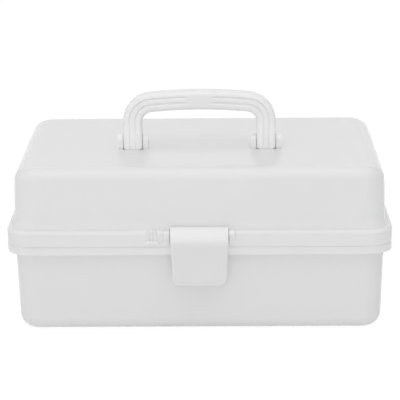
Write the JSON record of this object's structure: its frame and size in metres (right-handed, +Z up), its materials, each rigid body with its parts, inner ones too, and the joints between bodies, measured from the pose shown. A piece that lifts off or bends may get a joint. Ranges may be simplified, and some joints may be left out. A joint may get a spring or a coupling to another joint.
{
  "type": "art supply box",
  "caption": "Frosted art supply box: a rear-hinged lid with a fold-down handle and front latch, and stacked trays that rise and step back on link arms as it opens.",
  "frame": {"origin": "middle of the underside that the box stands on, centred in the overall width and depth", "axes": "+X to the right seen from the front, +Y to the rear hinges, +Z up; the latch faces -Y"},
  "size_m": [0.33, 0.214, 0.1976],
  "materials": {
    "frosted_shell": "frosted translucent polypropylene, fine satin",
    "frosted_tray": "frosted translucent polypropylene, smooth",
    "frosted_white": "milky white polypropylene, satin",
    "arm_plastic": "milky white polypropylene, satin",
    "pin_plastic": "natural acetal, smooth",
    "steel": "plain steel wire"
  },
  "bodies": {
    "base": {"base_shell": "frosted_shell", "hinge_pin_left": "steel", "hinge_pin_right": "steel", "front_base_pin_left": "pin_plastic", "front_base_pin_right": "pin_plastic", "rear_base_pin_left": "pin_plastic", "rear_base_pin_right": "pin_plastic"},
    "lid": {"lid_shell": "frosted_shell", "latch_pin": "steel", "handle_pin_left": "pin_plastic", "handle_pin_right": "pin_plastic"},
    "upper_tray": {"upper_tray": "frosted_tray", "upper_front_pin_left": "pin_plastic", "upper_front_pin_right": "pin_plastic", "lid_pivot_pin_left": "pin_plastic", "lid_pivot_pin_right": "pin_plastic"},
    "lower_tray": {"lower_tray": "frosted_tray", "lower_front_pin_left": "pin_plastic", "lower_front_pin_right": "pin_plastic", "lower_rear_pin_left": "pin_plastic", "lower_rear_pin_right": "pin_plastic"},
    "front_arm_left": {"front_arm_left": "arm_plastic"},
    "front_arm_right": {"front_arm_right": "arm_plastic"},
    "rear_arm_left": {"rear_arm_left": "arm_plastic"},
    "rear_arm_right": {"rear_arm_right": "arm_plastic"},
    "latch": {"latch": "frosted_white"},
    "handle": {"handle": "frosted_white"}
  },
  "joints": [
    {"name": "lid_hinge", "type": "hinge", "parent": "base", "child": "lid", "pos_m": [0, 0.1038, 0.0783], "axis": [-1, 0, 0], "range_deg": [0, 100]},
    {"name": "front_arm_left_pivot", "type": "hinge", "parent": "base", "child": "front_arm_left", "pos_m": [-0.15032, 0.0253, 0.0618], "axis": [-1, 0, 0], "range_deg": [0, 100]},
    {"name": "front_arm_right_pivot", "type": "hinge", "parent": "base", "child": "front_arm_right", "pos_m": [0.15032, 0.0253, 0.0618], "axis": [-1, 0, 0], "range_deg": [0, 100]},
    {"name": "rear_arm_left_pivot", "type": "hinge", "parent": "base", "child": "rear_arm_left", "pos_m": [-0.15032, 0.0673, 0.0618], "axis": [-1, 0, 0], "range_deg": [0, 100]},
    {"name": "rear_arm_right_pivot", "type": "hinge", "parent": "base", "child": "rear_arm_right", "pos_m": [0.15032, 0.0673, 0.0618], "axis": [-1, 0, 0], "range_deg": [0, 100]},
    {"name": "lower_tray_pivot", "type": "hinge", "parent": "front_arm_left", "child": "lower_tray", "pos_m": [0, -0.0243, 0.0739], "axis": [1, 0, 0], "range_deg": [0, 100]},
    {"name": "upper_tray_pivot", "type": "hinge", "parent": "lid", "child": "upper_tray", "pos_m": [0, 0.0046, 0.1025], "axis": [1, 0, 0], "range_deg": [0, 100]},
    {"name": "latch_hinge", "type": "hinge", "parent": "lid", "child": "latch", "pos_m": [0, -0.1007, 0.0915], "axis": [-1, 0, 0], "range_deg": [0, 120]},
    {"name": "handle_fold", "type": "hinge", "parent": "lid", "child": "handle", "pos_m": [0, -0.022, 0.1531], "axis": [-1, 0, 0], "range_deg": [-85, 85]}
  ],
  "couplings": [
    {"joint": "front_arm_left_pivot", "follows": "lid_hinge", "ratio": 1},
    {"joint": "front_arm_right_pivot", "follows": "lid_hinge", "ratio": 1},
    {"joint": "rear_arm_left_pivot", "follows": "lid_hinge", "ratio": 1},
    {"joint": "rear_arm_right_pivot", "follows": "lid_hinge", "ratio": 1},
    {"joint": "lower_tray_pivot", "follows": "lid_hinge", "ratio": 1},
    {"joint": "upper_tray_pivot", "follows": "lid_hinge", "ratio": 1}
  ]
}
